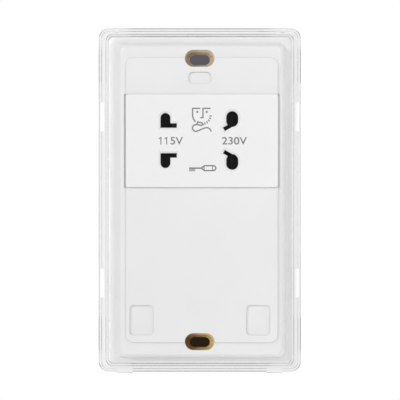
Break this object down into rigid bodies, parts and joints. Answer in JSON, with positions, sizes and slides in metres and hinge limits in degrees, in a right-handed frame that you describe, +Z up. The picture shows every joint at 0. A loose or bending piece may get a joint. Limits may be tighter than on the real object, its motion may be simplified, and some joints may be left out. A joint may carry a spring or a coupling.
{
  "type": "shaver socket",
  "caption": "Flush wall shaver socket: clear clip-on cover frame, white moulding, raised dual-voltage socket face with a sliding shutter, dished fixing slots and a deep transformer housing.",
  "frame": {"origin": "middle of the plate, on the wall", "axes": "+X to the right seen from the front, +Y into the wall, +Z up the wall"},
  "size_m": [0.0864, 0.0451, 0.1474],
  "materials": {
    "clear_polycarbonate": "clear, glossy, injection moulded",
    "white_moulded_plastic": "satin white, injection moulded",
    "yellow_passivated_steel": "zinc plated, yellow passivated",
    "black_moulded_plastic": "matt black, injection moulded",
    "housing_plastic": "off-white, fine spark-eroded texture",
    "phosphor_bronze": "rolled strip",
    "spring_steel": "rolled strip",
    "zinc_plated_steel": "bright zinc plate",
    "lamination_steel": "stamped stack, varnished",
    "nylon": "natural nylon",
    "taped_winding": "polyester tape over enamelled copper",
    "black_epoxy": "moulded epoxy",
    "turned_brass": "turned and milled"
  },
  "bodies": {
    "housing": {"clear_frame": "clear_polycarbonate", "front_moulding": "white_moulded_plastic", "socket_face": "white_moulded_plastic", "mounting_yoke": "yellow_passivated_steel", "contact_base": "black_moulded_plastic", "rear_housing": "housing_plastic", "switch_strip_upper": "phosphor_bronze", "switch_strip_lower": "phosphor_bronze", "contact_115v_upper": "phosphor_bronze", "contact_115v_lower": "phosphor_bronze", "contact_230v_upper": "phosphor_bronze", "contact_230v_lower": "phosphor_bronze", "centring_spring_left": "spring_steel", "centring_spring_right": "spring_steel", "base_screws": "zinc_plated_steel", "core_screws": "zinc_plated_steel", "housing_screws": "zinc_plated_steel", "terminal_screws": "zinc_plated_steel", "transformer_core": "lamination_steel", "bobbin": "nylon", "primary_winding": "taped_winding", "secondary_winding": "taped_winding", "thermal_cutout": "black_epoxy", "terminal_live": "turned_brass", "terminal_neutral": "turned_brass", "terminal_earth": "turned_brass", "earth_link": "turned_brass"},
    "shutter": {"shutter_slider": "black_moulded_plastic", "switch_bridge": "phosphor_bronze"}
  },
  "joints": [
    {"name": "shutter_slide", "type": "slide", "parent": "housing", "child": "shutter", "axis": [1, 0, 0], "range_m": [-0.0075, 0.0075], "stiffness_N_per_m": 120, "deforming": ["centring_spring_left", "centring_spring_right"]}
  ]
}
